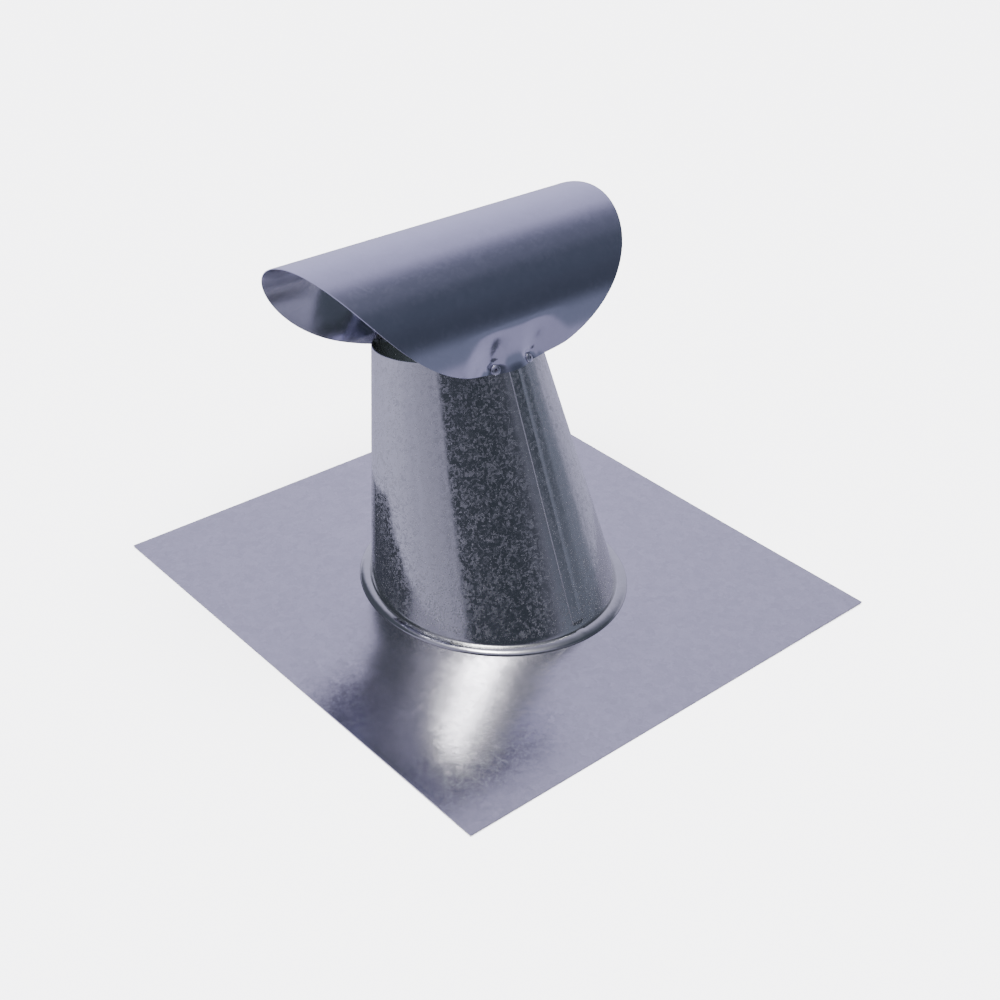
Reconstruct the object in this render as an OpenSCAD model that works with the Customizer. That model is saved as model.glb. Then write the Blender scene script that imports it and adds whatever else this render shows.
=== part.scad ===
// Tee-top roof jack: a square flange, a leaning tapered stack and an open tee-shaped cap.
// Origin: centre of the flange's underside. +Z is the flange's normal, +Y points uphill,
// and X is the direction in which the tee lies.

/* [Sheet] */
// Thickness of the galvanised sheet
sheet_t = 0.6; // [0.5:0.05:0.8]
// Clearance between sheets that lie on each other
lap_gap = 0.05; // [0.02:0.01:0.1]

/* [Flange] */
// Side of the square flange
flange_side = 340; // [300:5:460]
// Width of the sloping ring that lifts the sheet round the hole
joggle_w = 12; // [2:0.5:16]

/* [Stack] */
// Outer radius at the foot
foot_r = 80.3; // [76:0.1:84]
// Outer radius at the rim
rim_r = 52.1; // [50:0.1:54]
// How far the centre of the rim lies uphill of the centre of the foot
rim_y = 50.2; // [40:0.1:60]
// Height of the centre of the rim
rim_z = 155; // [140:1:180]
// Slope of the rim's plane, which is the roof's pitch
rim_tilt = 11.5; // [8:0.1:15]
// Width of the lap seam
seam_w = 8; // [6:0.5:10]
// Direction of the lap seam round the stack
seam_angle = -90.5; // [-95:0.5:-85]

/* [Foot bead] */
// Outer radius of the bead
bead_r = 87.9; // [87:0.1:91]
// Height of the top of the bead
bead_top = 4.2; // [3.6:0.1:5]
// Outer radius of the lip under the flange
lip_r = 86; // [84.5:0.5:88]

/* [Tee cap] */
// Radius of the round blank that the cap is rolled from
blank_r = 118; // [112:0.5:122]
// Outer radius of the rolled tube
cap_r = 60.2; // [58:0.1:63]
// Height of the tube's axis above the rim
cap_lift = 11.8; // [10:0.1:14]

/* [Rivets] */
// Angle between each rivet and the middle of its tab
rivet_spread = 15; // [12:0.5:18]
// Depth of the rivets below the rim
rivet_depth = 8; // [7:0.5:9]
// Radius of the shank
shank_r = 1.6; // [1.2:0.1:2]
// Radius of the head
head_r = 3.2; // [2.8:0.1:3.6]
// Height of the domed head
head_h = 1.1; // [0.8:0.1:1.4]

/* [Hidden] */

GALVANISED = [0.66, 0.67, 0.72];
RIVET_GREY = [0.72, 0.73, 0.78];
MANDREL_GREY = [0.34, 0.35, 0.38];
FINE = 96;
FACETS = 64;
SLICE = 0.01;

// Flange: the sheet round the hole is lifted by the thickness of the lip under it
joggle_z = sheet_t + lap_gap;
joggle_in = bead_r + 1;
joggle_out = joggle_in + joggle_w;
joggle_lap = 2;
hole_r = foot_r + lap_gap;

// Bead: a quarter ellipse from the wall of the stack down to the flange
bead_z = joggle_z + sheet_t + lap_gap;
BEAD_STEPS = 8;
neck_overlap = 0.5;
neck_inset = 0.15;

// Walls of the stack, in the frame of the rim: how far each one leans out with depth
foot_drop = rim_z - bead_top;
down_run = (foot_r + rim_y) * cos(rim_tilt) - foot_drop * sin(rim_tilt);
down_drop = (foot_r + rim_y) * sin(rim_tilt) + foot_drop * cos(rim_tilt);
up_run = (foot_r - rim_y) * cos(rim_tilt) + foot_drop * sin(rim_tilt);
up_drop = foot_drop * cos(rim_tilt) - (foot_r - rim_y) * sin(rim_tilt);
down_slope = (down_run - rim_r) / down_drop;
up_slope = (up_run - rim_r) / up_drop;
growth = (down_slope + up_slope) / 2;
drift = (up_slope - down_slope) / 2;

// Tabs: the lower middle of each side of the cap is pressed in against the stack
tab_gap = 4 * lap_gap;
tab_reach = 44;
tab_wrap = 17;
press_top = 25;
press_power = 1.6;
press_round = 12;
seam_rise = sheet_t + 2 * lap_gap;
rise_flat = seam_w / 2 + 1;
rise_end = 11;
dimple_flat = 5;
dimple_end = 12;
RINGS = 22;
SPOKES = 96;
RING_CROWD = 0.8;
SPOKE_CROWD = 12;

// Rivets
rivet_x = rim_r * sin(rivet_spread);
hole_clear = 0.05;
mandrel_r = 0.9;
bulb_r = 2.3;
bulb_h = 2.6;
mandrel_head_r = 1.5;
mandrel_head_h = 1.6;

function ease(t) = let (u = min(1, max(0, t))) u * u * (3 - 2 * u);

// Position of the stack's outer wall, in the frame of the rim, at a depth below the rim
function wall_y(x, depth, side) =
    let (r = rim_r + growth * depth)
    drift * depth + side * sqrt(max(0, r * r - x * x));

// How far the lap seam under the downhill tab lifts it off the wall
function tab_rise(x, side) =
    side > 0 ? 0 : seam_rise * ease((rise_end - abs(x)) / (rise_end - rise_flat));

// Follows a value while it is small and levels off at a limit
function level_off(value, limit, firm) = value / pow(1 + pow(value / limit, firm), 1 / firm);

// Share of the way from the rolled tube to the stack that the sheet is pressed in
function pressed(x, z) =
    let (
        across = ease((tab_reach - abs(x)) / (tab_reach - rivet_x)),
        down = max(0, press_top - z) / (press_top + rivet_depth)
    )
    across * level_off(pow(down, press_power), 1, press_round);

// Point on the sheet of the cap: x along the tube, s along the arc from the ridge,
// inset from the outer face
function cap_point(x, s, inset) =
    let (
        side = s < 0 ? -1 : 1,
        turn = s / cap_r * 180 / PI,
        z = cap_lift + (cap_r - inset) * cos(turn),
        free_y = side * (cap_r - inset) * sin(turn),
        stand_off = tab_gap + tab_rise(x, side) + sheet_t - inset,
        wrap_y = side * wall_y(level_off(abs(x), tab_wrap, 4), -z, side) + stand_off,
        rest_y = side * wall_y(x, -z, side) + stand_off,
        press_y = free_y + (wrap_y - free_y) * pressed(x, z),
        reach = norm([abs(x) - rivet_x, z + rivet_depth]),
        dimple = ease((dimple_end - reach) / (dimple_end - dimple_flat))
    )
    [x, side * (press_y + (rest_y - press_y) * dimple), z];

// The round blank as rings of points, all on one face of the sheet. Points crowd towards
// the edge and towards the two tabs.
function cap_skin(inset) = [
    for (ring = [0:RINGS - 1])
        for (spoke = [0:SPOKES - 1])
            let (
                r = blank_r * pow((ring + 1) / RINGS, RING_CROWD),
                turn = 360 * spoke / SPOKES,
                a = turn + SPOKE_CROWD * sin(2 * turn)
            )
            cap_point(r * cos(a), r * sin(a), inset),
    cap_point(0, 0, inset)
];

// Frame of the rim: origin at the centre of the rim, +Z along the axis of the pipe
module at_rim() {
    translate([0, rim_y, rim_z])
        rotate([-rim_tilt, 0, 0])
            children();
}

// Solid taper between the foot and the rim, inset from the outer face, with both ends
// carried on by extra
module taper(inset, extra) {
    hull() {
        translate([0, 0, bead_top - extra])
            cylinder(r = foot_r - inset, h = extra + SLICE, $fn = FACETS);
        at_rim()
            translate([0, 0, -SLICE])
                cylinder(r = rim_r - inset, h = extra + SLICE, $fn = FACETS);
    }
}

// Raised strip where the edges of the stack's sheet lap
module lap_strip() {
    root = 0.35;
    hull() {
        rotate(seam_angle)
            translate([foot_r - root, -seam_w / 2, bead_top + SLICE])
                cube([root + sheet_t, seam_w, SLICE]);
        at_rim()
            rotate(seam_angle)
                translate([rim_r - root, -seam_w / 2, -2 * SLICE])
                    cube([root + sheet_t, seam_w, SLICE]);
    }
}

// Section of the foot: neck through the flange, lip under it and bead on top of it
module foot_section() {
    wall_out = foot_r - neck_inset;
    wall_in = wall_out - sheet_t;
    wide = bead_r - foot_r;
    tall = bead_top - bead_z;
    under = [
        for (k = [0:BEAD_STEPS])
            let (a = 90 * (1 - k / BEAD_STEPS))
            [foot_r + (wide - sheet_t) * cos(a), bead_z + (tall - sheet_t) * sin(a)]
    ];
    over = [
        for (k = [0:BEAD_STEPS])
            let (a = 90 * k / BEAD_STEPS)
            [foot_r + wide * cos(a), bead_z + tall * sin(a)]
    ];
    polygon(concat(
        [[wall_in, 0], [lip_r, 0], [lip_r, sheet_t], [wall_out, sheet_t], [wall_out, bead_top - sheet_t]],
        under,
        over,
        [[wall_out, bead_top], [wall_out, bead_top + neck_overlap], [wall_in, bead_top + neck_overlap]]
    ));
}

// Places children on the outer face of the stack at a rivet, +Z pointing out of the wall
module at_rivet(side, hand) {
    x = hand * rivet_x;
    slope = side > 0 ? up_slope : down_slope;
    at_rim()
        translate([x, wall_y(x, rivet_depth, side), -rivet_depth])
            rotate([0, 0, side > 0 ? -hand * rivet_spread : hand * rivet_spread])
                rotate([side > 0 ? -90 + atan(slope) : 90 - atan(slope), 0, 0])
                    children();
}

// Holes through both sheets, one for each rivet
module rivet_holes() {
    for (side = [-1, 1])
        for (hand = [-1, 1])
            at_rivet(side, hand)
                translate([0, 0, -2 * bulb_h])
                    cylinder(r = shank_r + hole_clear, h = 4 * bulb_h, $fn = 32);
}

module base_flange() {
    color(GALVANISED) {
        difference() {
            translate([-flange_side / 2, -flange_side / 2, 0])
                cube([flange_side, flange_side, sheet_t]);
            translate([0, 0, -1])
                cylinder(r = joggle_out + joggle_lap / 2, h = sheet_t + 2, $fn = FINE);
        }
        rotate_extrude($fn = FINE)
            polygon([
                [hole_r, joggle_z], [joggle_in, joggle_z], [joggle_out, 0],
                [joggle_out + joggle_lap, 0], [joggle_out + joggle_lap, sheet_t], [joggle_out, sheet_t],
                [joggle_in, joggle_z + sheet_t], [hole_r, joggle_z + sheet_t]
            ]);
    }
}

module stack() {
    color(GALVANISED) {
        difference() {
            union() {
                taper(0, 0);
                lap_strip();
            }
            taper(sheet_t, 1);
            rivet_holes();
        }
        rotate_extrude($fn = FINE)
            foot_section();
    }
}

module tee_cap() {
    outer = cap_skin(0);
    inner = cap_skin(sheet_t);
    count = len(outer);
    edge = (RINGS - 1) * SPOKES;
    quads_out = [
        for (ring = [0:RINGS - 2])
            for (k = [0:SPOKES - 1])
                let (a = ring * SPOKES + k, b = ring * SPOKES + (k + 1) % SPOKES)
                each [[a, b + SPOKES, a + SPOKES], [a, b, b + SPOKES]]
    ];
    fan_out = [for (k = [0:SPOKES - 1]) [count - 1, (k + 1) % SPOKES, k]];
    skin_out = concat(quads_out, fan_out);
    skin_in = [for (f = skin_out) [f[0] + count, f[2] + count, f[1] + count]];
    rim_wall = [
        for (k = [0:SPOKES - 1])
            let (a = edge + k, b = edge + (k + 1) % SPOKES)
            each [[a, b, b + count], [a, b + count, a + count]]
    ];
    color(GALVANISED)
        difference() {
            at_rim()
                polyhedron(concat(outer, inner), concat(skin_out, skin_in, rim_wall));
            rivet_holes();
        }
}

// Blind rivet: domed head on the tab, shank through both sheets and a bulb inside
module rivet(side, hand) {
    head_z = tab_gap + sheet_t + 4 * lap_gap;
    grip_end = -sheet_t - lap_gap;
    color(RIVET_GREY)
        at_rivet(side, hand)
            rotate_extrude($fn = 48)
                polygon([
                    [mandrel_r, grip_end - bulb_h], [bulb_r * 0.8, grip_end - bulb_h],
                    [bulb_r, grip_end - bulb_h * 0.7], [bulb_r, grip_end - bulb_h * 0.25],
                    [shank_r, grip_end], [shank_r, head_z], [head_r, head_z],
                    [head_r * 0.96, head_z + head_h * 0.3], [head_r * 0.8, head_z + head_h * 0.65],
                    [head_r * 0.55, head_z + head_h * 0.92], [head_r * 0.4, head_z + head_h],
                    [mandrel_r, head_z + head_h]
                ]);
}

// Stub of the steel mandrel that stays in a set rivet, its break sunk below the head
module mandrel(side, hand) {
    tail = -sheet_t - lap_gap - bulb_h;
    stub_top = tab_gap + sheet_t + head_h * 0.35;
    color(MANDREL_GREY)
        at_rivet(side, hand) {
            translate([0, 0, tail - mandrel_head_h])
                cylinder(r = mandrel_r - hole_clear / 2, h = stub_top - tail + mandrel_head_h, $fn = 32);
            translate([0, 0, tail - lap_gap - mandrel_head_h])
                cylinder(r = mandrel_head_r, h = mandrel_head_h, $fn = 32);
        }
}

base_flange();
stack();
tee_cap();
rivet(-1, -1);  // rivet_front_left
rivet(-1, 1);  // rivet_front_right
rivet(1, -1);  // rivet_back_left
rivet(1, 1);  // rivet_back_right
mandrel(-1, -1);  // mandrel_front_left
mandrel(-1, 1);  // mandrel_front_right
mandrel(1, -1);  // mandrel_back_left
mandrel(1, 1);  // mandrel_back_right
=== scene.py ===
import math

import bpy
import numpy as np
from mathutils import Matrix, Vector


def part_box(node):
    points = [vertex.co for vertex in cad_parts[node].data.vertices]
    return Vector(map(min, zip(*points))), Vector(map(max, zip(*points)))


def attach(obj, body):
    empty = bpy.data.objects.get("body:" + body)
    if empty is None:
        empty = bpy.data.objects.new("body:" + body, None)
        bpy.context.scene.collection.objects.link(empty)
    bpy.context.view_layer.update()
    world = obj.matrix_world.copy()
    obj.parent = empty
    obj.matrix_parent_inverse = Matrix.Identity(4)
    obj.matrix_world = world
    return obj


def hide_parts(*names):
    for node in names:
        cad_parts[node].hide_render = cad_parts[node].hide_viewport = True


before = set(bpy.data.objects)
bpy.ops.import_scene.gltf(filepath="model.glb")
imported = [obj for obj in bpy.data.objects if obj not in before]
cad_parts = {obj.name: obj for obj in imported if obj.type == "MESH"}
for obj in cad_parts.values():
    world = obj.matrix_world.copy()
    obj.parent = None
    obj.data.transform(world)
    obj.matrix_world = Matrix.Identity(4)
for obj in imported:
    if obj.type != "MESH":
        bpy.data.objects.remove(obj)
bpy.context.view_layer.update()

# ---------------------------------------------------------------- dimensions, in metres and radians

MM = 0.001
TAU = 2 * math.pi

# From the frame: the flange's side, the bead's radius and the radius of the cap's round blank
FLANGE_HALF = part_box("base_flange")[1].x
BEAD_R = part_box("stack")[1].x
BLANK_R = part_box("tee_cap")[1].x

SHEET = 0.6 * MM
FOOT_R = 80.3 * MM
BEAD_TOP = 4.2 * MM
RIM_R = 52.1 * MM
RIM_CENTRE = Vector((0, 50.2 * MM, 155 * MM))
RIM_TILT = math.radians(11.5)
CAP_R = 60.2 * MM
CAP_LIFT = 11.8 * MM

# Flange: the sheet round the hole is lifted over the lip of the stack
JOGGLE_Z = 0.65 * MM
JOGGLE_IN = BEAD_R + 1 * MM
JOGGLE_OUT = JOGGLE_IN + 30 * MM
HOLE_R = FOOT_R + 0.05 * MM
WAVE_HEIGHT = 0.9 * MM
WAVE_REACH = FLANGE_HALF * 0.9

# Foot of the stack: bead over the flange, lip under it
BEAD_Z = JOGGLE_Z + SHEET + 0.05 * MM
LIP_R = 86 * MM
NECK_IN = FOOT_R - 0.15 * MM - SHEET
CREASE = 0.35 * MM

# Lap seam up the downhill side of the stack: a raised strip with a sharp left edge and a soft right one. It
# starts a little above the bead, which has a small bump there. Rolling leaves faint flats in the wall, and
# the seam has a shallow hollow on each side.
SEAM_ANGLE = math.radians(-90.5)
SEAM_W = 8 * MM
SEAM_H = 0.6 * MM
SEAM_EDGE = 0.3 * MM
SEAM_FADE = 5 * MM
SEAM_START = 3.5 * MM
SEAM_RAMP = 1 * MM
SEAM_BUMP = 0.35 * MM
SEAM_BUMP_W = 3 * MM
ROLL_DEPTH = 0.10 * MM
SEAM_HOLLOW = 0.22 * MM
HOLLOW_W = 5 * MM
HOLLOW_LEFT = 14 * MM
HOLLOW_RIGHT = 13 * MM
HOLLOW_RIGHT_SHARE = 0.6

# Tabs of the cap, pressed in against the stack, with a dimple at each rivet. The downhill one rises over
# the seam.
TAB_GAP = 0.2 * MM
TAB_REACH = 44 * MM
TAB_WRAP = 20 * MM
PRESS_TOP = 19 * MM
PRESS_POWER = 1.25
PRESS_ROUND = 30
SEAM_RISE = 0.7 * MM
RISE_FLAT = SEAM_W / 2 + 1 * MM
RISE_END = 15 * MM
DIMPLE_FLAT = 3.5 * MM
DIMPLE_END = 7.5 * MM

# Rivets
RIVET_SPREAD = math.radians(15)
RIVET_DEPTH = 8 * MM
RIVET_X = RIM_R * math.sin(RIVET_SPREAD)
SHANK_R = 1.6 * MM
HEAD_R = 3.2 * MM
HEAD_H = 1.1 * MM
MANDREL_R = 0.9 * MM
BULB_R = 2.3 * MM
BULB_H = 2.6 * MM
HEAD_GAP = 0.2 * MM
GRIP_GAP = 0.05 * MM
HEAD_RIM = 0.15 * MM
HEAD_DOME = math.radians(66)

RIM_FRAME = Matrix.Translation(RIM_CENTRE) @ Matrix.Rotation(-RIM_TILT, 4, "X")


def wall_slopes():
    """How far the downhill and the uphill wall of the stack lean out for each metre below the rim."""
    drop = RIM_CENTRE.z - BEAD_TOP
    cos, sin = math.cos(RIM_TILT), math.sin(RIM_TILT)
    down_reach, up_reach = FOOT_R + RIM_CENTRE.y, FOOT_R - RIM_CENTRE.y
    down = (down_reach * cos - drop * sin - RIM_R) / (down_reach * sin + drop * cos)
    up = (up_reach * cos + drop * sin - RIM_R) / (drop * cos - up_reach * sin)
    return down, up


DOWN_SLOPE, UP_SLOPE = wall_slopes()
GROWTH = (DOWN_SLOPE + UP_SLOPE) / 2
DRIFT = (UP_SLOPE - DOWN_SLOPE) / 2

# ---------------------------------------------------------------- mesh helpers


def ease(t):
    """A smooth step from 0 to 1 while t goes from 0 to 1."""
    u = np.clip(t, 0, 1)
    return u * u * (3 - 2 * u)


def mesh_object(name, points, faces, material, sharp=35):
    """A smooth-shaded mesh whose edges stay sharp above that angle in degrees."""
    mesh = bpy.data.meshes.new(name)
    mesh.from_pydata([tuple(p) for p in points], [], faces)
    mesh.validate()
    mesh.shade_smooth()
    mesh.set_sharp_from_angle(angle=math.radians(sharp))
    mesh.materials.append(material)
    thing = bpy.data.objects.new(name, mesh)
    bpy.context.scene.collection.objects.link(thing)
    return thing


def loft(rows, close_rows=False):
    """Quads between rows of points. A row is a closed ring, and close_rows joins the last to the first."""
    count, width = len(rows), len(rows[0])
    faces = []
    for i in range(count if close_rows else count - 1):
        low, high = i * width, (i + 1) % count * width
        for j in range(width):
            k = (j + 1) % width
            faces.append((low + j, low + k, high + k, high + j))
    return [p for row in rows for p in row], faces


def finish_piece(thing, slot, *nodes):
    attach(thing, "root")
    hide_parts(*nodes)


# ---------------------------------------------------------------- materials


class Nodes:
    """Short calls for building a node tree."""

    def __init__(self, tree):
        self.tree = tree

    def add(self, kind, **values):
        node = self.tree.nodes.new(kind)
        for key, value in values.items():
            setattr(node, key, value)
        return node

    def link(self, source, target):
        self.tree.links.new(source, target)
        return target

    def math(self, operation, a, b=None):
        node = self.add("ShaderNodeMath", operation=operation)
        for socket, value in zip(node.inputs, (a, b)):
            if value is None:
                continue
            if isinstance(value, (int, float)):
                socket.default_value = value
            else:
                self.link(value, socket)
        return node.outputs[0]

    def vector(self, operation, a, b=None, scale=None):
        node = self.add("ShaderNodeVectorMath", operation=operation)
        for socket, value in zip(node.inputs, (a, b)):
            if value is None:
                continue
            if isinstance(value, (tuple, list)):
                socket.default_value = value
            else:
                self.link(value, socket)
        if scale is not None:
            if isinstance(scale, (int, float)):
                node.inputs["Scale"].default_value = scale
            else:
                self.link(scale, node.inputs["Scale"])
        return node.outputs[0]

    def dot(self, a, b):
        node = self.add("ShaderNodeVectorMath", operation="DOT_PRODUCT")
        self.link(a, node.inputs[0])
        node.inputs[1].default_value = b
        return node.outputs["Value"]

    def remap(self, value, low, high, out_low, out_high, smooth=False):
        node = self.add("ShaderNodeMapRange")
        if smooth:
            node.interpolation_type = "SMOOTHSTEP"
        self.link(value, node.inputs["Value"])
        numbers = {"From Min": low, "From Max": high, "To Min": out_low, "To Max": out_high}
        for key, number in numbers.items():
            node.inputs[key].default_value = number
        return node.outputs["Result"]

    def noise(self, vector, scale, detail=2.0, roughness=0.5):
        node = self.add("ShaderNodeTexNoise")
        self.link(vector, node.inputs["Vector"])
        node.inputs["Scale"].default_value = scale
        node.inputs["Detail"].default_value = detail
        node.inputs["Roughness"].default_value = roughness
        return node

    def cells(self, vector, scale):
        node = self.add("ShaderNodeTexVoronoi")
        self.link(vector, node.inputs["Vector"])
        node.inputs["Scale"].default_value = scale
        return node

    def blend(self, kind, factor, a, b):
        node = self.add("ShaderNodeMix", data_type="RGBA", blend_type=kind)
        for socket, value in ((node.inputs[0], factor), (node.inputs[6], a), (node.inputs[7], b)):
            if isinstance(value, (int, float, tuple, list)):
                socket.default_value = value
            else:
                self.link(value, socket)
        return node.outputs[2]


MIDDLE = (0.5, 0.5, 0.5)

# Spangle. Rates are relative to a crystal's width: how fast and how far the crystals' outlines wander, the
# smaller second set of crystals, the fine frosting and the broad clouds. Shares add up to 1.
WANDER_RATE = 0.9
WANDER_REACH = 3.0
SMALL_RATE = 2.6
FINE_RATE = 4.5
CLOUD_RATE = 0.09
SMALL_LEAN = 0.6
TONE_LARGE = 0.45
TONE_SMALL = 0.30
TONE_CLOUD = 0.25
DULL_SMALL = 0.6
DULL_FINE = 0.4
DULL_SOFTNESS = 0.22
SMOOTH_START = 0.4
BUMP_STRENGTH = 0.3

# Turning marks on rivets: their rate and depth, and how dark, light, smooth and rough the metal is in them
SCUFF_RATE = 900
SCUFF_DEPTH = 0.05 * MM
SCUFF_DARK = 0.82
SCUFF_LIGHT = 1.12
SCUFF_SMOOTH = 0.8
SCUFF_ROUGH = 1.3


def metal(name):
    """A material with a bare metallic shader: returns the material, its nodes and the shader."""
    material = bpy.data.materials.new(name)
    material.use_nodes = True
    n = Nodes(material.node_tree)
    n.tree.nodes.clear()
    output = n.add("ShaderNodeOutputMaterial")
    shader = n.add("ShaderNodeBsdfPrincipled")
    n.link(shader.outputs[0], output.inputs["Surface"])
    shader.inputs["Metallic"].default_value = 1.0
    return material, n, shader


def galvanised(name, tint, polish, frost, frosted, crystal, tilt, mottle, grain, smooth_below=None):
    """Zinc-coated sheet. Each crystal of the spangle has its own slight lean, tone and polish.

    polish and frost are the roughness of bright and of frosted crystals, frosted is the share of frosted
    ones, crystal a crystal's width in metres, tilt how far its facet leans, mottle how much the tone
    varies, and grain the depth of the fine frosting. The frosting fades out below the height smooth_below.
    """
    material, n, shader = metal(name)
    place = n.add("ShaderNodeTexCoord").outputs["Object"]
    wander = n.noise(place, WANDER_RATE / crystal, detail=4, roughness=0.6).outputs["Color"]
    shift = n.vector("SCALE", n.vector("SUBTRACT", wander, MIDDLE), scale=crystal * WANDER_REACH)
    warped = n.vector("ADD", place, shift)
    large = n.cells(warped, 1 / crystal).outputs["Color"]
    small = n.cells(warped, SMALL_RATE / crystal).outputs["Color"]
    lean = n.vector("ADD", n.vector("SUBTRACT", large, MIDDLE),
                    n.vector("SCALE", n.vector("SUBTRACT", small, MIDDLE), scale=SMALL_LEAN))
    normal = n.add("ShaderNodeNewGeometry").outputs["Normal"]
    faceted = n.vector("NORMALIZE", n.vector("ADD", normal, n.vector("SCALE", lean, scale=tilt)))
    fine = n.noise(warped, FINE_RATE / crystal, detail=4, roughness=0.65).outputs[0]
    bump = n.add("ShaderNodeBump")
    bump.inputs["Strength"].default_value = BUMP_STRENGTH
    bump.inputs["Distance"].default_value = grain
    n.link(fine, bump.inputs["Height"])
    n.link(faceted, bump.inputs["Normal"])
    n.link(bump.outputs[0], shader.inputs["Normal"])

    large_tone = n.add("ShaderNodeSeparateColor")
    n.link(large, large_tone.inputs[0])
    small_tone = n.add("ShaderNodeSeparateColor")
    n.link(small, small_tone.inputs[0])
    cloud = n.noise(place, CLOUD_RATE / crystal, detail=3).outputs[0]
    mixed = n.math("ADD", n.math("MULTIPLY", large_tone.outputs[0], TONE_LARGE),
                   n.math("MULTIPLY", small_tone.outputs[1], TONE_SMALL))
    level = n.math("ADD", mixed, n.math("MULTIPLY", cloud, TONE_CLOUD))
    dark = tuple(c * (1 - mottle) for c in tint) + (1,)
    light = tuple(min(1, c * (1 + mottle)) for c in tint) + (1,)
    n.link(n.blend("MIX", level, dark, light), shader.inputs["Base Color"])
    edge = 1 - frosted
    frosting = n.math("ADD", n.math("MULTIPLY", small_tone.outputs[2], DULL_SMALL),
                      n.math("MULTIPLY", fine, DULL_FINE))
    dull = n.remap(frosting, edge - DULL_SOFTNESS, edge + DULL_SOFTNESS, polish, frost, smooth=True)
    if smooth_below:
        height = n.add("ShaderNodeSeparateXYZ")
        n.link(place, height.inputs[0])
        kept = n.remap(height.outputs[2], smooth_below * SMOOTH_START, smooth_below, 0, 1, smooth=True)
        dull = n.math("ADD", n.math("MULTIPLY", n.math("SUBTRACT", dull, polish), kept), polish)
    n.link(dull, shader.inputs["Roughness"])
    return material


def rivet_metal(name, tint, rough):
    """Formed aluminium or steel with fine turning marks."""
    material, n, shader = metal(name)
    place = n.add("ShaderNodeTexCoord").outputs["Object"]
    scuff = n.noise(place, SCUFF_RATE, detail=3).outputs[0]
    dark = tuple(c * SCUFF_DARK for c in tint) + (1,)
    light = tuple(min(1, c * SCUFF_LIGHT) for c in tint) + (1,)
    n.link(n.blend("MIX", scuff, dark, light), shader.inputs["Base Color"])
    dull = n.remap(scuff, 0.3, 0.7, rough * SCUFF_SMOOTH, rough * SCUFF_ROUGH)
    n.link(dull, shader.inputs["Roughness"])
    bump = n.add("ShaderNodeBump")
    bump.inputs["Strength"].default_value = BUMP_STRENGTH
    bump.inputs["Distance"].default_value = SCUFF_DEPTH
    n.link(scuff, bump.inputs["Height"])
    n.link(bump.outputs[0], shader.inputs["Normal"])
    return material


FLANGE_ZINC = galvanised(
    "flange_zinc", tint=(0.66, 0.65, 0.67), polish=0.16, frost=0.22, frosted=0.40, crystal=4.5 * MM,
    tilt=0.012, mottle=0.10, grain=0.01 * MM)
STACK_ZINC = galvanised(
    "stack_zinc", tint=(0.63, 0.64, 0.60), polish=0.10, frost=0.42, frosted=0.42, crystal=4 * MM,
    tilt=0.02, mottle=0.05, grain=0.02 * MM, smooth_below=9 * MM)
CAP_ZINC = galvanised(
    "cap_zinc", tint=(0.66, 0.665, 0.75), polish=0.15, frost=0.21, frosted=0.4, crystal=8 * MM,
    tilt=0.004, mottle=0.03, grain=0.01 * MM)
RIVET_METAL = rivet_metal("rivet_metal", (0.72, 0.73, 0.78), 0.28)
MANDREL_METAL = rivet_metal("mandrel_metal", (0.20, 0.20, 0.22), 0.5)

# ---------------------------------------------------------------- flange


def flange_warp(x, y):
    """Height of the sheet's slight waviness: none at the bead, growing to the corners."""
    reach = ease((np.hypot(x, y) - JOGGLE_OUT) / WAVE_REACH)
    wave = 0.5 + 0.28 * np.sin(x * 21 + y * 9 + 0.6) + 0.22 * np.sin(x * 13 - y * 24 + 2.1)
    return WAVE_HEIGHT * reach * wave


def make_flange():
    columns = 384
    angles = np.arange(columns) * TAU / columns
    cos, sin = np.cos(angles), np.sin(angles)
    to_square = FLANGE_HALF / np.maximum(np.abs(cos), np.abs(sin))
    radii = [(HOLE_R, 1.0), (JOGGLE_IN - 1 * MM, 1.0)]
    joggle_steps = 8
    for step in range(joggle_steps + 1):
        u = step / joggle_steps
        radii.append((JOGGLE_IN + (JOGGLE_OUT - JOGGLE_IN) * u, 1 - float(ease(u))))
    radii.append((JOGGLE_OUT + 1 * MM, 0.0))
    rings = [(np.full(columns, r), lift) for r, lift in radii]
    start = JOGGLE_OUT + 1 * MM
    outer_rings = 48
    for step in range(1, outer_rings + 1):
        rings.append((start + (to_square - start) * step / outer_rings, 0.0))
    top, bottom = [], []
    for reach, lift in rings:
        x, y = reach * cos, reach * sin
        z = JOGGLE_Z * lift + flange_warp(x, y)
        bottom.append(np.stack([x, y, z], 1))
        top.append(np.stack([x, y, z + SHEET], 1))
    points, faces = loft(top + bottom[::-1], close_rows=True)
    thing = mesh_object("flange", points, [f[::-1] for f in faces], FLANGE_ZINC)
    finish_piece(thing, "galvanised_flange", "base_flange")


# ---------------------------------------------------------------- stack


def seam_columns():
    """Columns round the stack, and half the seam's whole width.

    A column is (distance from the seam's middle, share of the rest of the turn, height of the seam). One of
    the first two is None.
    """
    half = SEAM_W / 2
    steps = 5
    fall = [float(ease(k / steps)) for k in range(steps + 1)]
    profile = [(-half - SEAM_EDGE * (0.5 - k / steps), h) for k, h in enumerate(fall)]
    profile += [(half * k / 3, 1.0) for k in (-2, -1, 0, 1, 2)]
    profile += [(half - SEAM_FADE * (0.5 - k / steps), h) for k, h in enumerate(fall[::-1])]
    rest = 360
    columns = [(s, None, h) for s, h in profile]
    columns += [(None, k / rest, 0.0) for k in range(1, rest)]
    return columns, half + SEAM_FADE / 2


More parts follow.
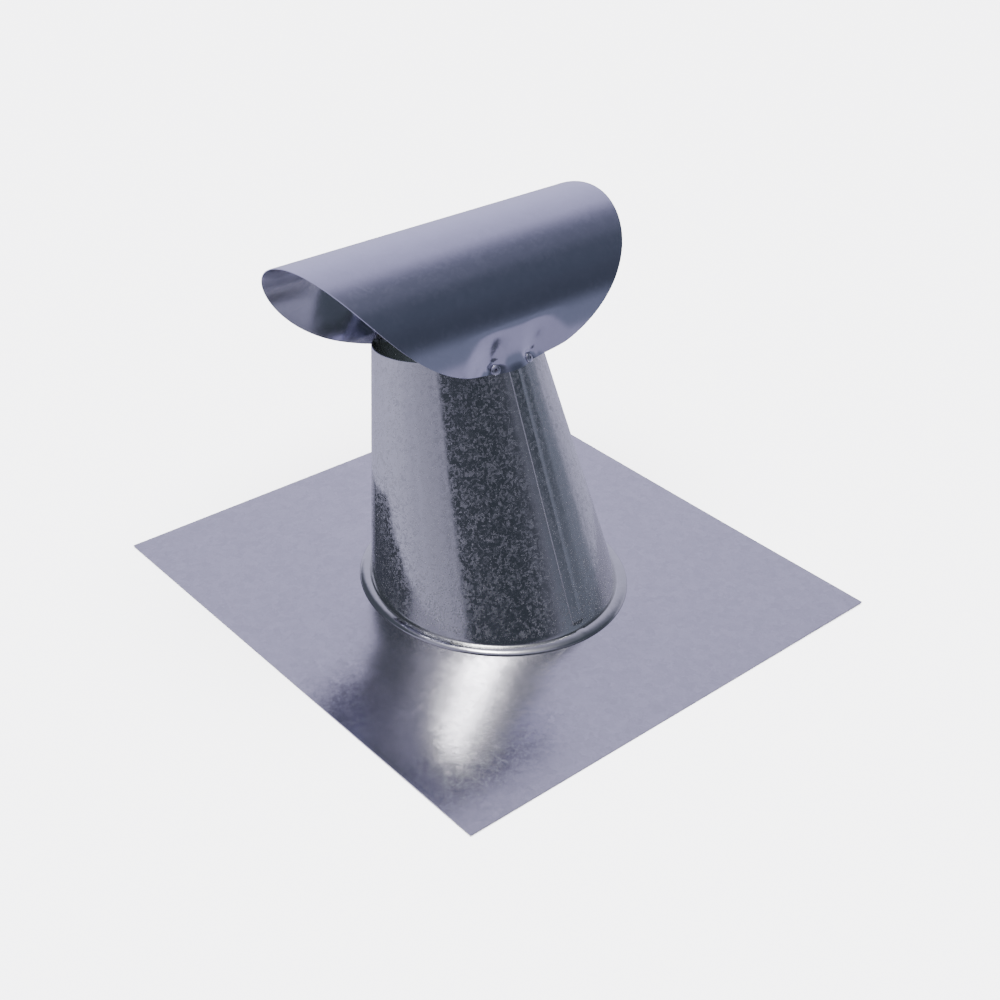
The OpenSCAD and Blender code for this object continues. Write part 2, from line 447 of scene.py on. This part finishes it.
def roll_marks(angles):
    """Depth of the marks that rolling and the seam leave along the wall, at angles round the stack."""
    waves = 0.30 * np.sin(23 * angles + 1.0) + 0.22 * np.sin(41 * angles + 2.2)
    waves = waves + 0.12 * np.sin(67 * angles + 0.4)
    highest = 0.64
    beside = np.angle(np.exp(1j * (angles - SEAM_ANGLE))) * RIM_R
    left = np.exp(-((beside + HOLLOW_LEFT) / HOLLOW_W) ** 2)
    right = HOLLOW_RIGHT_SHARE * np.exp(-((beside - HOLLOW_RIGHT) / HOLLOW_W) ** 2)
    return ROLL_DEPTH * (highest - waves) + SEAM_HOLLOW * (left + right)


def make_stack():
    columns, seam_half = seam_columns()

    def angles_at(radius):
        out = []
        for s, share, _ in columns:
            if share is None:
                out.append(SEAM_ANGLE + s / radius)
            else:
                out.append(SEAM_ANGLE + seam_half / radius + share * (TAU - 2 * seam_half / radius))
        return np.array(out)

    heights = np.array([h for _, _, h in columns])
    # The marks of rolling fade in over the first twelfth of the wall
    fade_in = 12

    def wall_ring(t, inset, raised):
        radius = FOOT_R + (RIM_R - FOOT_R) * t
        a = angles_at(radius)
        lift = heights * SEAM_H * raised
        if inset == 0:
            lift = lift - roll_marks(a) * min(1, t * fade_in)
        foot = np.stack([(FOOT_R - inset + lift) * np.cos(a), (FOOT_R - inset + lift) * np.sin(a),
                         np.full(len(columns), BEAD_TOP)], 1)
        x, y = (RIM_R - inset + lift) * np.cos(a), (RIM_R - inset + lift) * np.sin(a)
        rim = np.stack([x, RIM_CENTRE.y + y * math.cos(RIM_TILT), RIM_CENTRE.z - y * math.sin(RIM_TILT)], 1)
        return foot * (1 - t) + rim * t

    def turned_ring(radius, z, bump=0.0):
        a = angles_at(FOOT_R)
        near = np.exp(-((np.angle(np.exp(1j * (a - SEAM_ANGLE))) * FOOT_R / SEAM_BUMP_W) ** 2))
        return np.stack([radius * np.cos(a), radius * np.sin(a), z + bump * near], 1)

    wall_steps = 60
    length = (RIM_CENTRE - Vector((0, 0, BEAD_TOP))).length
    ts = [1 - k / wall_steps for k in range(wall_steps)]
    ts = [t for t in ts if t * length > SEAM_START + 1.2 * SEAM_RAMP]
    ts += [(SEAM_START + share * SEAM_RAMP) / length for share in (1.0, 0.6, 0.3, 0.0)]
    ts += [0.5 * SEAM_START / length, 0.0]
    # Outer wall, from the rim down to the bead
    rows = []
    for t in ts:
        raised = float(ease((t * length - SEAM_START) / SEAM_RAMP))
        rows.append(wall_ring(t, 0, raised))
    # Over the bead, and back under it
    arc = 14
    wide, tall = BEAD_R - FOOT_R, BEAD_TOP - BEAD_Z
    rows.append(turned_ring(FOOT_R + 0.1 * MM, BEAD_TOP - CREASE))
    for k in range(1, arc + 1):
        a = math.pi / 2 * (1 - k / arc)
        bump = SEAM_BUMP * math.sin(a)
        rows.append(turned_ring(FOOT_R + wide * math.cos(a), BEAD_Z + tall * math.sin(a), bump))
    for k in range(arc + 1):
        a = math.pi / 2 * k / arc
        inner = FOOT_R + (wide - SHEET) * math.cos(a)
        rows.append(turned_ring(inner, BEAD_Z + (tall - SHEET) * math.sin(a)))
    # Down the neck, round the lip, and up the inside to the wall
    neck_out = NECK_IN + SHEET
    for radius, z in ((neck_out, BEAD_TOP - SHEET), (neck_out, SHEET), (LIP_R, SHEET), (LIP_R, 0.0),
                      (NECK_IN, 0.0), (NECK_IN, BEAD_TOP)):
        rows.append(turned_ring(radius, z))
    # Inner wall, back up to the rim
    inner_steps = 24
    for k in range(1, inner_steps + 1):
        rows.append(wall_ring(k / inner_steps, SHEET, 0))
    points, faces = loft(rows, close_rows=True)
    thing = mesh_object("stack_body", points, [f[::-1] for f in faces], STACK_ZINC, sharp=32)
    finish_piece(thing, "galvanised_stack", "stack")


# ---------------------------------------------------------------- tee cap


def wall_y(x, depth, side):
    """Where the stack's outer wall is on one side, at x along the tee and at a depth below the rim."""
    radius = RIM_R + GROWTH * depth
    return DRIFT * depth + side * np.sqrt(np.maximum(0, radius * radius - x * x))


def level_off(value, limit, firm):
    """Follows a value while it is small and levels off at a limit."""
    return value / (1 + (value / limit) ** firm) ** (1 / firm)


def pressed(x, z):
    """Share of the way from the rolled tube to the stack that the sheet is pressed in."""
    across = ease((TAB_REACH - np.abs(x)) / (TAB_REACH - RIVET_X))
    down = np.maximum(0, PRESS_TOP - z) / (PRESS_TOP + RIVET_DEPTH)
    return across * level_off(down ** PRESS_POWER, 1, PRESS_ROUND)


def cap_point(x, s, inset):
    """Where a point of the flat blank ends up: x along the tube, s along the arc from the ridge."""
    side = np.where(s < 0, -1.0, 1.0)
    turn = s / CAP_R
    z = CAP_LIFT + (CAP_R - inset) * np.cos(turn)
    free_y = side * (CAP_R - inset) * np.sin(turn)
    rise = np.where(side > 0, 0, SEAM_RISE * ease((RISE_END - np.abs(x)) / (RISE_END - RISE_FLAT)))
    stand_off = TAB_GAP + rise + SHEET - inset
    wrap_y = side * wall_y(level_off(np.abs(x), TAB_WRAP, 4), -z, side) + stand_off
    rest_y = side * wall_y(x, -z, side) + stand_off
    press_y = free_y + (wrap_y - free_y) * pressed(x, z)
    reach = np.hypot(np.abs(x) - RIVET_X, z + RIVET_DEPTH)
    dimple = ease((DIMPLE_END - reach) / (DIMPLE_END - DIMPLE_FLAT))
    return np.stack([x, side * (press_y + (rest_y - press_y) * dimple), z], -1)


def make_cap():
    rings, spokes = 64, 320
    angles = np.arange(spokes) * TAU / spokes
    rows = {0.0: [], SHEET: []}
    for inset, ring_rows in rows.items():
        for ring in range(1, rings + 1):
            r = BLANK_R * ring / rings
            ring_rows.append(cap_point(r * np.cos(angles), r * np.sin(angles), inset))
    points, faces = loft(rows[0.0] + rows[SHEET][::-1])
    for inset, first in ((0.0, 0), (SHEET, (2 * rings - 1) * spokes)):
        centre = len(points)
        points.append(cap_point(np.array(0.0), np.array(0.0), inset))
        for k in range(spokes):
            fan = (centre, first + k, first + (k + 1) % spokes)
            faces.append(fan if inset == 0.0 else fan[::-1])
    outward = [f[::-1] if len(f) == 4 else f for f in faces]
    placed = [RIM_FRAME @ Vector(p) for p in points]
    thing = mesh_object("cap_sheet", placed, outward, CAP_ZINC, sharp=50)
    finish_piece(thing, "galvanised_cap", "tee_cap")


# ---------------------------------------------------------------- rivets


def rivet_frame(side, hand):
    """Frame on the stack's outer wall at a rivet, +Z pointing out of the wall."""
    x = hand * RIVET_X
    y = float(wall_y(np.array(x), RIVET_DEPTH, side))
    slope = UP_SLOPE if side > 0 else DOWN_SLOPE
    turn = Matrix.Rotation(-side * hand * RIVET_SPREAD, 4, "Z")
    lean = Matrix.Rotation(-side * (math.pi / 2 - math.atan(slope)), 4, "X")
    return RIM_FRAME @ Matrix.Translation((x, y, -RIVET_DEPTH)) @ turn @ lean


def turned(name, profile, place, material, sharp):
    """A solid of revolution about the frame's Z axis, from (radius, height) points in order."""
    around = 56
    rows = []
    for r, z in profile:
        ring = [(r * math.cos(k * TAU / around), r * math.sin(k * TAU / around), z) for k in range(around)]
        rows.append([place @ Vector(p) for p in ring])
    closed = profile[0][0] > 0 and profile[-1][0] > 0 and profile[0][0] == profile[-1][0]
    points, faces = loft(rows, close_rows=closed)
    return mesh_object(name, points, faces, material, sharp)


def make_rivet(where, side, hand):
    place = rivet_frame(side, hand)
    head_z = TAB_GAP + SHEET + HEAD_GAP
    grip = -SHEET - GRIP_GAP
    dome = [
        (HEAD_R * math.cos(a), head_z + HEAD_RIM + (HEAD_H - HEAD_RIM) * math.sin(a))
        for a in np.linspace(0, HEAD_DOME, 9)
    ]
    profile = [
        (MANDREL_R, grip - BULB_H), (BULB_R * 0.8, grip - BULB_H), (BULB_R, grip - BULB_H * 0.7),
        (BULB_R, grip - BULB_H * 0.25), (SHANK_R, grip), (SHANK_R, head_z), (HEAD_R * 0.97, head_z),
        *dome,
        (MANDREL_R * 1.15, head_z + HEAD_H * 0.92), (MANDREL_R, head_z + HEAD_H * 0.8),
    ]
    thing = turned("rivet_body_" + where, profile, place, RIVET_METAL, 40)
    finish_piece(thing, "rivet_aluminium", "rivet_" + where)
    tail = grip - BULB_H
    top = TAB_GAP + SHEET + HEAD_H * 0.35
    stub = [
        (0.0, top + 0.08 * MM), (MANDREL_R * 0.5, top), (MANDREL_R * 0.97, top - 0.1 * MM),
        (MANDREL_R * 0.97, tail - 0.05 * MM), (1.3 * MM, tail - 0.05 * MM), (1.5 * MM, tail - 0.4 * MM),
        (1.5 * MM, tail - 1.3 * MM), (1.2 * MM, tail - 1.65 * MM), (0.0, tail - 1.65 * MM),
    ]
    thing = turned("mandrel_stub_" + where, stub[::-1], place, MANDREL_METAL, 40)
    finish_piece(thing, "mandrel_steel", "mandrel_" + where)


# ---------------------------------------------------------------- stage, lights and camera

FLOOR_REACH = 6.0
FLOOR_COLOUR = (0.93, 0.93, 0.93, 1)
PIPE_TINT = (0.85, 1, 1.35, 1)
PIPE_GLOW = 0.12
SUN_STRENGTH = 17
SUN_SPREAD = math.radians(70)

# Camera: the azimuth and the elevation at which it stands, in degrees as seen from its target, and its roll
CAMERA_AZIMUTH = -41.476
CAMERA_ELEVATION = 32.796
CAMERA_ROLL = math.radians(2.429)
CAMERA_TARGET = Vector((23.2, 93.2, 0)) * MM
CAMERA_DISTANCE = 1.0945
CAMERA_LENS = 55.86
CAMERA_SENSOR = 36
CAMERA_SHIFT = (0.071, 0.0017)


def floor_patch(name, corners, material, drop):
    """A flat face just under the part, which belongs to the stage."""
    mesh = bpy.data.meshes.new(name)
    mesh.from_pydata(corners, [], [tuple(range(len(corners)))])
    mesh.materials.append(material)
    patch = bpy.data.objects.new(name, mesh)
    patch.location.z = -drop
    bpy.context.scene.collection.objects.link(patch)
    return patch


def make_floor():
    """The floor, and a disc of it under the pipe that glows faintly and lights the inside of the stack."""
    material = bpy.data.materials.new("floor_white")
    material.use_nodes = True
    shader = material.node_tree.nodes["Principled BSDF"]
    shader.inputs["Base Color"].default_value = FLOOR_COLOUR
    shader.inputs["Roughness"].default_value = 0.9
    corners = [(x * FLOOR_REACH, y * FLOOR_REACH, 0) for x, y in ((-1, -1), (1, -1), (1, 1), (-1, 1))]
    floor = floor_patch("floor", corners, material, 0.3 * MM)
    floor.visible_glossy = False
    lit = material.copy()
    shader = lit.node_tree.nodes["Principled BSDF"]
    shader.inputs["Emission Color"].default_value = PIPE_TINT
    shader.inputs["Emission Strength"].default_value = PIPE_GLOW
    around = 64
    turns = [k * TAU / around for k in range(around)]
    ring = [(NECK_IN * math.cos(turn), NECK_IN * math.sin(turn), 0) for turn in turns]
    floor_patch("floor_in_pipe", ring, lit, 0.2 * MM)


def direction(azimuth, elevation):
    """Unit vector. Azimuth 0 is the downhill side, and it grows towards +X."""
    az, el = math.radians(azimuth), math.radians(elevation)
    return math.sin(az) * math.cos(el), -math.cos(az) * math.cos(el), math.sin(el)


# What the metal reflects, with angles in degrees. Glows are soft lamps: azimuth, elevation, sharpness,
# strength. OVERHEAD holds two more of them, which the screens don't cover. Screens are soft dark boards:
# azimuth, elevation, squeeze in height, radius of the full dark, radius of the edge, share, light left.
# PALE is what the camera itself sees behind the part.
ROOM_LIGHT = 0.36
GLOWS = ((139, 11, 3.7, 0.42), (-140, -25, 3, 0.30), (85, -20, 8, 0.12))
SCREENS = (
    (45, -2, 1.8, 22, 36, 0.8, 0.19),
    (-34, 10, 2.2, 28, 36, 0.97, 0.06),
    (-6, 14, 2.2, 12, 35, 0.97, 0.06),
    (47, 28, 1.0, 16, 32, 1.0, 0.075),
    (66, 50, 1.0, 8, 38, 0.85, 0.10),
    (-150, 26, 1.3, 28, 42, 0.95, 0.08),
)
OVERHEAD = ((0, 90, 170, 36), (-40, 86, 22, 1.4))
LIGHT_TINT = (1.03, 1.0, 1.47)
SCREEN_TINT = (0.86, 1.0, 1.42)
LAMP_TINT = (1.0, 0.97, 1.08)
PALE = (1, 1, 1, 1)
PALE_STRENGTH = 5.5


def make_world():
    world = bpy.data.worlds.new("studio")
    bpy.context.scene.world = world
    world.use_nodes = True
    n = Nodes(world.node_tree)
    n.tree.nodes.clear()
    look = n.add("ShaderNodeTexCoord").outputs["Generated"]

    def glow(azimuth, elevation, sharpness, strength):
        toward = n.dot(look, direction(azimuth, elevation))
        power = n.math("MULTIPLY", n.math("SUBTRACT", toward, 1.0), float(sharpness))
        return n.math("MULTIPLY", n.math("EXPONENT", power), float(strength))

    level = ROOM_LIGHT
    for lamp in GLOWS:
        level = n.math("ADD", glow(*lamp), level)
    colour = n.vector("SCALE", LIGHT_TINT, scale=level)
    for azimuth, elevation, squeeze, inner, outer, share, left in SCREENS:
        squeezed = n.vector("NORMALIZE", n.vector("MULTIPLY", look, (1, 1, squeeze)))
        x, y, z = direction(azimuth, elevation)
        aim = Vector((x, y, z * squeeze)).normalized()
        toward = n.dot(squeezed, aim)
        full, edge = math.cos(math.radians(inner)), math.cos(math.radians(outer))
        cover = n.remap(toward, edge, full, 0, share, smooth=True)
        colour = n.blend("MIX", cover, colour, tuple(c * left for c in SCREEN_TINT) + (1,))
    for lamp in OVERHEAD:
        colour = n.vector("ADD", colour, n.vector("SCALE", LAMP_TINT, scale=glow(*lamp)))
    reflected = n.add("ShaderNodeBackground")
    n.link(colour, reflected.inputs["Color"])
    seen = n.add("ShaderNodeBackground")
    seen.inputs["Color"].default_value = PALE
    seen.inputs["Strength"].default_value = PALE_STRENGTH
    pick = n.add("ShaderNodeMixShader")
    n.link(n.add("ShaderNodeLightPath").outputs["Is Camera Ray"], pick.inputs[0])
    n.link(reflected.outputs[0], pick.inputs[1])
    n.link(seen.outputs[0], pick.inputs[2])
    n.link(pick.outputs[0], n.add("ShaderNodeOutputWorld").inputs["Surface"])


def make_floor_lamp():
    """A wide soft lamp overhead that lights the floor and isn't mirrored in the metal."""
    lamp = bpy.data.lights.new("floor_lamp", "SUN")
    lamp.energy = SUN_STRENGTH
    lamp.angle = SUN_SPREAD
    thing = bpy.data.objects.new("floor_lamp", lamp)
    thing.visible_glossy = False
    bpy.context.scene.collection.objects.link(thing)


def make_camera():
    back = Vector(direction(CAMERA_AZIMUTH, CAMERA_ELEVATION))
    azimuth = math.radians(CAMERA_AZIMUTH)
    right = Vector((math.cos(azimuth), math.sin(azimuth), 0))
    up = back.cross(right)
    x_axis = math.cos(CAMERA_ROLL) * right + math.sin(CAMERA_ROLL) * up
    y_axis = math.cos(CAMERA_ROLL) * up - math.sin(CAMERA_ROLL) * right
    camera = bpy.data.cameras.new("camera")
    camera.lens = CAMERA_LENS
    camera.sensor_width = CAMERA_SENSOR
    camera.shift_x, camera.shift_y = CAMERA_SHIFT
    thing = bpy.data.objects.new("camera", camera)
    axes = Matrix((x_axis, y_axis, back)).transposed()
    place = Matrix.Translation(CAMERA_TARGET + back * CAMERA_DISTANCE)
    thing.matrix_world = place @ axes.to_4x4()
    bpy.context.scene.collection.objects.link(thing)
    bpy.context.scene.camera = thing


make_camera()
make_world()
make_floor()
make_floor_lamp()

make_flange()
make_stack()
make_cap()
for side_name, side in (("front", -1), ("back", 1)):
    for hand_name, hand in (("left", -1), ("right", 1)):
        make_rivet(side_name + "_" + hand_name, side, hand)
